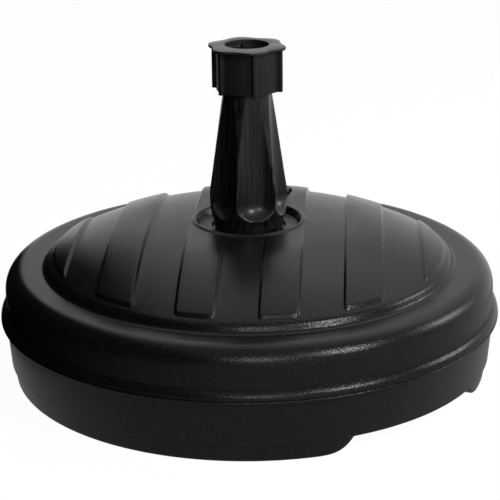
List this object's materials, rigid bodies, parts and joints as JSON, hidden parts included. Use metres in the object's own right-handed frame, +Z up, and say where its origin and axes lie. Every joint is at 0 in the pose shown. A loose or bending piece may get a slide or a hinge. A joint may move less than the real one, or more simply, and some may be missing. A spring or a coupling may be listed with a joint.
{
  "type": "parasol base",
  "caption": "Round fillable parasol base: a domed tank in two shells with raised pads, a fluted stem with a hand nut that clamps the pole, and a screw filler cap.",
  "frame": {"origin": "centre of the base on the ground under its feet", "axes": "+Z up along the stem, the pads run along Y, and the filler cap is on the +Y side"},
  "size_m": [0.45, 0.45, 0.2967],
  "materials": {
    "shell_plastic": "moulded black with a fine grain",
    "stem_plastic": "moulded black, smooth semi-gloss",
    "clamp_plastic": "moulded black, satin",
    "seal_rubber": "matt black",
    "screw_steel": "zinc plated"
  },
  "bodies": {
    "base": {"upper_shell": "shell_plastic", "lower_shell": "shell_plastic", "stem_tube": "stem_plastic", "stem_screw_1": "screw_steel", "stem_screw_2": "screw_steel", "stem_screw_3": "screw_steel"},
    "clamp": {"clamp_collet": "clamp_plastic"},
    "nut": {"clamp_nut": "clamp_plastic"},
    "cap_ring": {"cap_seal": "seal_rubber"},
    "cap": {"filler_cap": "clamp_plastic"}
  },
  "joints": [
    {"name": "clamp_slide", "type": "slide", "parent": "base", "child": "clamp", "axis": [0, 0, -1], "range_m": [0, 0.005]},
    {"name": "nut_turn", "type": "hinge", "parent": "clamp", "child": "nut", "pos_m": [0, 0, 0.277], "axis": [0, 0, -1], "range_deg": [0, 450]},
    {"name": "cap_lift", "type": "slide", "parent": "base", "child": "cap_ring", "axis": [0, 0.1215, 0.9926], "range_m": [0, 0.009]},
    {"name": "cap_turn", "type": "hinge", "parent": "cap_ring", "child": "cap", "pos_m": [0, 0.088, 0.13361], "axis": [0, 0.1215, 0.9926], "range_deg": [0, 540]}
  ],
  "couplings": [
    {"joint": "clamp_slide", "follows": "nut_turn", "m_per_rad": 0.00063661},
    {"joint": "cap_lift", "follows": "cap_turn", "m_per_rad": 0.00095492}
  ]
}
